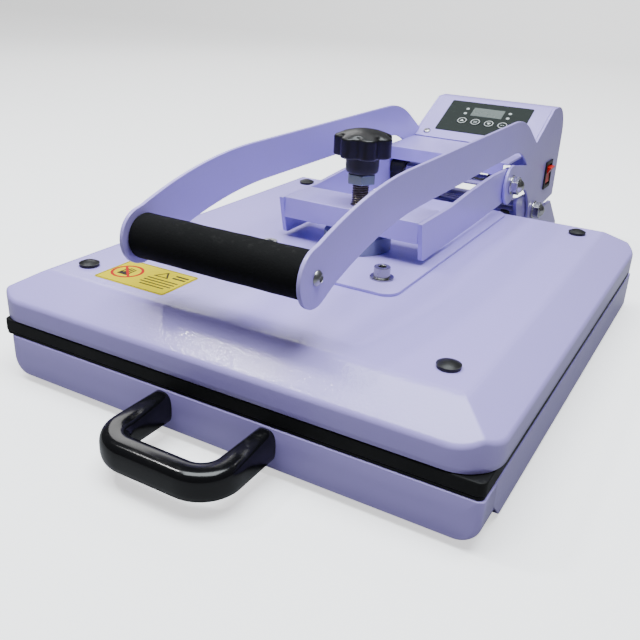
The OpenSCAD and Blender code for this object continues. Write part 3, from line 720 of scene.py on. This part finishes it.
def lobed_knob():
    """The knob as rings that change from round at the hub to lobed and back to round at the tip."""
    low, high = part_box("star_knob")
    cx, cy, reach = (low[0] + high[0]) / 2, (low[1] + high[1]) / 2, (high[1] - low[1]) / 2
    sections = []
    for r, z, lobed in knob_profile(reach, high[2] - low[2]):
        ring = []
        for i in range(KNOB_STEPS):
            a = 2 * math.pi * i / KNOB_STEPS
            wavy = lobed_radius(a, r) if r > HUB_R + 0.001 else r
            rr = r * (1 - lobed) + wavy * lobed
            ring.append((cx + rr * math.cos(a), cy + rr * math.sin(a), low[2] + z))
        sections.append(ring)
    return tube_along("lobed_knob", sections)


knob_black = surface("knob_black", (0.006, 0.006, 0.007), (0.04, 0.04, 0.042), 0.36,
                     bump=(700.0, 0.12, 0.0002), edge=0.4, dust=0.04, swing=0.04, specular=0.45)
knob = lobed_knob()
smooth_shaded(knob, 50)
finish_piece(knob, knob_black, "screw_knob", ["star_knob"])

# ---- Lifting frame: side plates and crossmember --------------------------------------------------
# Two laser-cut plates, each running from the grip over a hump into a side of the control box, and a
# folded crossmember between them.
for node in ("left_side_plate", "right_side_plate", "frame_crossmember"):
    eased_piece(node, powder, "lift_frame", 0.0007, 3)

# ---- Lifting frame: hand grip --------------------------------------------------------------------
# A black foam tube pulled over a steel tube, which a button-head screw through each side plate
# holds. The foam's skin is a little uneven, and its ends are rolled in.
GRIP_STEPS, GRIP_ROWS, GRIP_END, FOAM_SINK, FOAM_SWELL = 72, 60, 0.0018, 0.0002, 0.00025
foam = surface("grip_foam", (0.004, 0.004, 0.0045), (0.01, 0.01, 0.01), 0.8, bump=(1100.0, 0.6, 0.0004),
               edge=0.3, dust=0.02, swing=0.04, specular=0.12)


def foam_tube():
    """A profile spun round the grip's axis, closed at the ends and swollen here and there."""
    low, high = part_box("foam_grip")
    cy, cz, radius = (low[1] + high[1]) / 2, (low[2] + high[2]) / 2, (high[2] - low[2]) / 2
    end = [(0.0, 0.0112), (0.0001, radius - 0.0022), (0.0006, radius - 0.0009), (GRIP_END, radius)]
    length = high[0] - low[0] - 2 * GRIP_END
    profile = [(low[0] + x, r) for x, r in end]
    profile += [(low[0] + GRIP_END + length * i / GRIP_ROWS, radius) for i in range(1, GRIP_ROWS)]
    profile += [(high[0] - x, r) for x, r in reversed(end)]
    bm = bmesh.new()
    line = [bm.verts.new((x, cy + r, cz)) for x, r in profile]
    for a, b in zip(line, line[1:]):
        bm.edges.new((a, b))
    bmesh.ops.spin(bm, geom=bm.verts[:] + bm.edges[:], cent=(0, cy, cz), axis=(1, 0, 0),
                   angle=2 * math.pi, steps=GRIP_STEPS, use_merge=True)
    bmesh.ops.holes_fill(bm, edges=bm.edges)
    for v in bm.verts:
        out = Vector((0, v.co.y - cy, v.co.z - cz))
        if out.length > radius - FOAM_SINK:
            out.normalize()
            swell = FOAM_SWELL * noise.noise(Vector((v.co.x * 60, out.y * 1.5, out.z * 1.5)))
            v.co += out * (swell - FOAM_SINK)
    bmesh.ops.recalc_face_normals(bm, faces=bm.faces)
    return object_from(bm, "foam_tube")


grip = foam_tube()
smooth_shaded(grip, 50)
finish_piece(grip, foam, "lift_frame", ["foam_grip"])
for node in ("grip_tube", "grip_screws"):
    eased_piece(node, zinc, "lift_frame", 0.0003)

# ---- Lifting frame: carrier shaft ----------------------------------------------------------------
# A chromed shaft through the plates' noses, held by domed nuts, with two black collars between the
# carrier's arms.
for node in ("carrier_shaft", "carrier_shaft_nuts"):
    eased_piece(node, chrome, "lift_frame")
eased_piece("shaft_collars", satin_black, "lift_frame", 0.0006)

# ---- Control box: folded cover and floor ---------------------------------------------------------
# A folded and powder-coated sheet between the side plates, rounded at the top rear, with a plain
# floor of the same sheet under it.
eased_piece("control_cover", powder, "lift_frame", 0.0004)
eased_piece("control_floor", powder, "lift_frame", 0.0003)

# ---- Control box: membrane panel -----------------------------------------------------------------
# A dark printed film is glued to the sloping face of the cover, with a grey display window, four
# ringed keys and four small indicators. Two zinc-plated screws stand beside it.
PANEL_SLOPE = math.radians(26.6)
film = surface("panel_film", (0.010, 0.016, 0.014), (0.04, 0.05, 0.05), 0.50, bump=(1500.0, 0.08, 0.0001),
               edge=0.0, dust=0.02, specular=0.2)
window_grey = surface("display_grey", (0.12, 0.145, 0.135), (0.2, 0.22, 0.21), 0.25,
                      bump=(100.0, 0.01, 0.0001), edge=0.0, dust=0.05, specular=0.35)
lens_grey = surface("indicator_grey", (0.45, 0.50, 0.48), (0.5, 0.5, 0.5), 0.3, edge=0.0, dust=0.1)
white_ink = surface("white_ink", (0.62, 0.66, 0.64), (0.6, 0.6, 0.6), 0.45, edge=0.0, dust=0.1)
eased_piece("membrane_overlay", film, "lift_frame", 0.0002, 1)
eased_piece("display_window", window_grey, "lift_frame", 0.0001, 1)
eased_piece("indicator_lenses", lens_grey, "lift_frame", 0.0002)
eased_piece("panel_screws", zinc, "lift_frame", 0.0002, 1)

# ---- Control box: keys ---------------------------------------------------------------------------
# Each round key is its own piece of film, which is pressed into the slope. A white ring and a plain
# symbol are printed on it.
KEY_RING_R, KEY_RING_W, KEY_FACE = 0.0052, 0.0007, 0.00125


def key_symbol(kind):
    """Shapes of a key's symbol: an arrow head, two bars one over the other, or two dashes."""
    if kind == "up":
        return [([(-0.0022, -0.0014), (0.0022, -0.0014), (0, 0.0022)], None)]
    if kind == "down":
        return [([(-0.0022, 0.0014), (0, -0.0022), (0.0022, 0.0014)], None)]
    if kind == "set":
        return [(bar(0, y, 0.0042, 0.0006), None) for y in (0.0010, -0.0010)]
    return [(bar(x, 0, 0.0016, 0.0007), None) for x in (-0.0013, 0.0013)]


for kind in ("up", "set", "down", "mode"):
    node, body = "button_" + kind, kind + "_button"
    eased_piece(node, film, body, 0.0003)
    low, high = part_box(node)
    middle = (Vector(low) + Vector(high)) / 2
    on_key = (Matrix.Translation(middle) @ Matrix.Rotation(PANEL_SLOPE, 4, "X")
              @ Matrix.Translation((0, 0, KEY_FACE)))
    ring = [(disc(0, 0, KEY_RING_R), disc(0, 0, KEY_RING_R - KEY_RING_W))]
    print_shapes("key_print_" + kind, ring + key_symbol(kind), on_key, white_ink, body)

# ---- Control box: electrics ----------------------------------------------------------------------
# Green board and relay inside, black inlet and fuse holder at the back, and a red rocker switch in
# a black bezel on the right side plate.
board_green = surface("board_green", (0.02, 0.16, 0.06), (0.1, 0.3, 0.15), 0.4)
rocker_red = surface("rocker_red", (0.72, 0.018, 0.012), (0.85, 0.2, 0.15), 0.35,
                     bump=(200.0, 0.03, 0.0002), dust=0.03, specular=0.3)
coat_node("control_board", board_green)
coat_node("heater_relay", satin_black)
for node in ("mains_inlet", "fuse_holder", "switch_body"):
    eased_piece(node, satin_black, "lift_frame")
eased_piece("switch_rocker", rocker_red, "rocker", 0.0006, 3)
